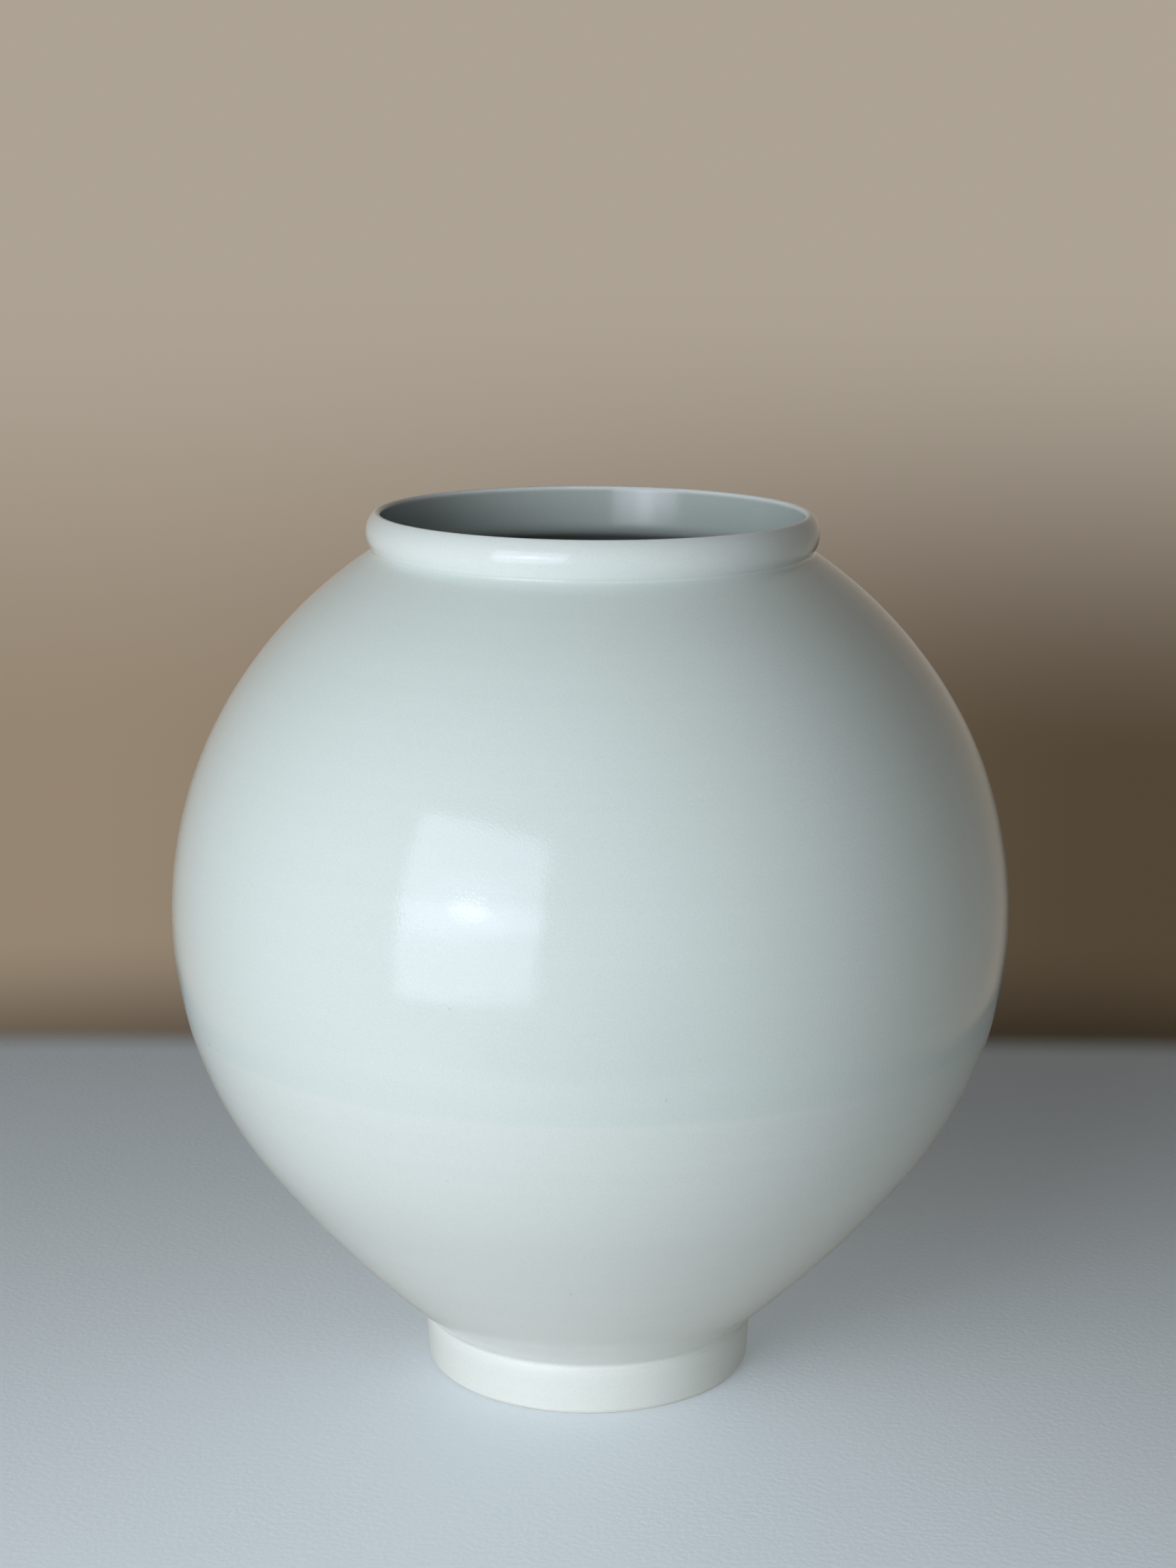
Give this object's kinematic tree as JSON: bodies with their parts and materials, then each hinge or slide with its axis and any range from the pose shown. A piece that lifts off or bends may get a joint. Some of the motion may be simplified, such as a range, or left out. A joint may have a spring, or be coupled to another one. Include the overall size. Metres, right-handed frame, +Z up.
{
  "type": "moon jar",
  "caption": "Round glazed porcelain storage jar with a full belly, a short rounded collar at its wide mouth and a low ring foot that it stands on.",
  "frame": {"origin": "centre of the foot ring's resting face, on the table", "axes": "+Z up along the axis that the jar was turned on, -Y towards the picture's viewer, +X to the viewer's right"},
  "size_m": [0.2999, 0.3, 0.3141],
  "materials": {
    "porcelain_clay": "fired bare porcelain, satin matte",
    "joint_slip": "fired porcelain slip, matte",
    "celadon_white_glaze": "glossy pale celadon-white glaze with a fine orange-peel skin"
  },
  "bodies": {
    "root": {"lower_bowl": "porcelain_clay", "upper_bowl": "porcelain_clay", "mouth_collar": "porcelain_clay", "foot_ring": "porcelain_clay", "belly_slip": "joint_slip", "collar_slip": "joint_slip", "foot_slip": "joint_slip", "seam_coil": "porcelain_clay", "outer_glaze": "celadon_white_glaze", "inner_glaze": "celadon_white_glaze", "well_glaze": "celadon_white_glaze"}
  },
  "joints": []
}
